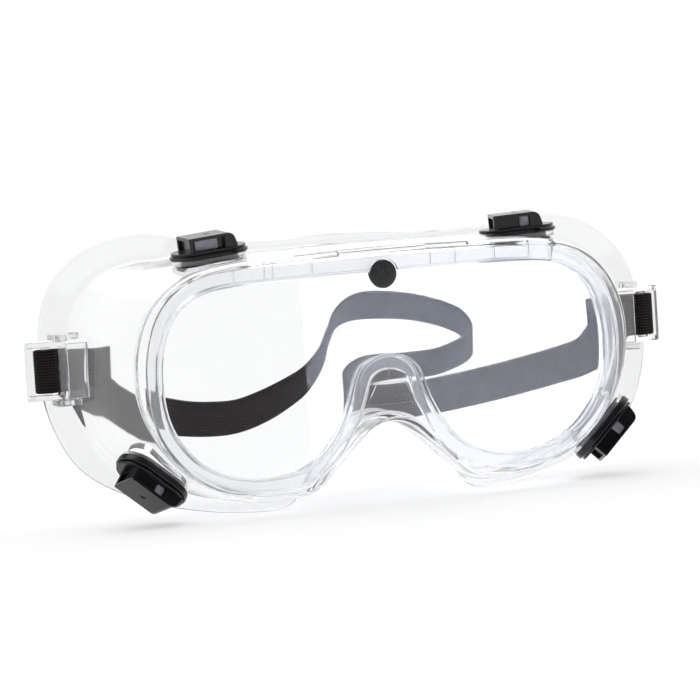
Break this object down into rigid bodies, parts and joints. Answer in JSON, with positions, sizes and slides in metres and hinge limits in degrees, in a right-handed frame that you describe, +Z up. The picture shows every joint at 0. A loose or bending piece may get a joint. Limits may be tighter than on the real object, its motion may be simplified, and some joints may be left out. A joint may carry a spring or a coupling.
{
  "type": "safety goggles",
  "caption": "Splash safety goggles: soft clear frame with a face flange, flat clear lens, snap-in hooded vents and an elastic strap on pivoting clips.",
  "frame": {"origin": "middle of the overall length and depth, at the level of the lowest edge", "axes": "+X to the right seen from the front, -Y out of the lens towards the viewer, +Z up"},
  "size_m": [0.1932, 0.0576, 0.0798],
  "materials": {
    "clear_pvc": "clear soft vinyl, gloss",
    "clear_lens": "clear polycarbonate, polished",
    "black_stud": "black, fine texture",
    "black_vent": "black, satin",
    "grey_baffle": "violet grey, matt",
    "clear_clip": "clear rigid plastic, gloss",
    "elastic_webbing": "black ribbed elastic"
  },
  "bodies": {
    "frame": {"frame_body": "clear_pvc", "lens": "clear_lens", "lens_stud": "black_stud", "stud_washer": "black_stud", "vent_base_tl": "black_vent", "vent_base_tr": "black_vent", "vent_base_bl": "black_vent", "vent_base_br": "black_vent", "strap_run": "elastic_webbing", "strap_tail_left": "elastic_webbing", "strap_tail_right": "elastic_webbing"},
    "clip_left": {"clip_left": "clear_clip", "strap_loop_left": "elastic_webbing"},
    "clip_right": {"clip_right": "clear_clip", "strap_loop_right": "elastic_webbing"},
    "vent_tl": {"vent_cap_tl": "black_vent", "vent_baffle_tl": "grey_baffle"},
    "vent_tr": {"vent_cap_tr": "black_vent", "vent_baffle_tr": "grey_baffle"},
    "vent_bl": {"vent_cap_bl": "black_vent", "vent_baffle_bl": "grey_baffle"},
    "vent_br": {"vent_cap_br": "black_vent", "vent_baffle_br": "grey_baffle"}
  },
  "joints": [
    {"name": "clip_left_swing", "type": "hinge", "parent": "frame", "child": "clip_left", "pos_m": [-0.0868, -0.00331, 0.04398], "axis": [0, 0, -1], "range_deg": [-35, 45]},
    {"name": "clip_right_swing", "type": "hinge", "parent": "frame", "child": "clip_right", "pos_m": [0.0868, -0.00331, 0.04398], "axis": [0, 0, 1], "range_deg": [-35, 45]},
    {"name": "vent_tl_pull", "type": "slide", "parent": "frame", "child": "vent_tl", "axis": [-0.087, -0.0523, 0.9948], "range_m": [0, 0.012]},
    {"name": "vent_tr_pull", "type": "slide", "parent": "frame", "child": "vent_tr", "axis": [-0.0523, 0, 0.9986], "range_m": [0, 0.012]},
    {"name": "vent_bl_pull", "type": "slide", "parent": "frame", "child": "vent_bl", "axis": [-0.604, -0.342, -0.7198], "range_m": [0, 0.012]},
    {"name": "vent_br_pull", "type": "slide", "parent": "frame", "child": "vent_br", "axis": [0.6528, -0.342, -0.676], "range_m": [0, 0.012]}
  ]
}
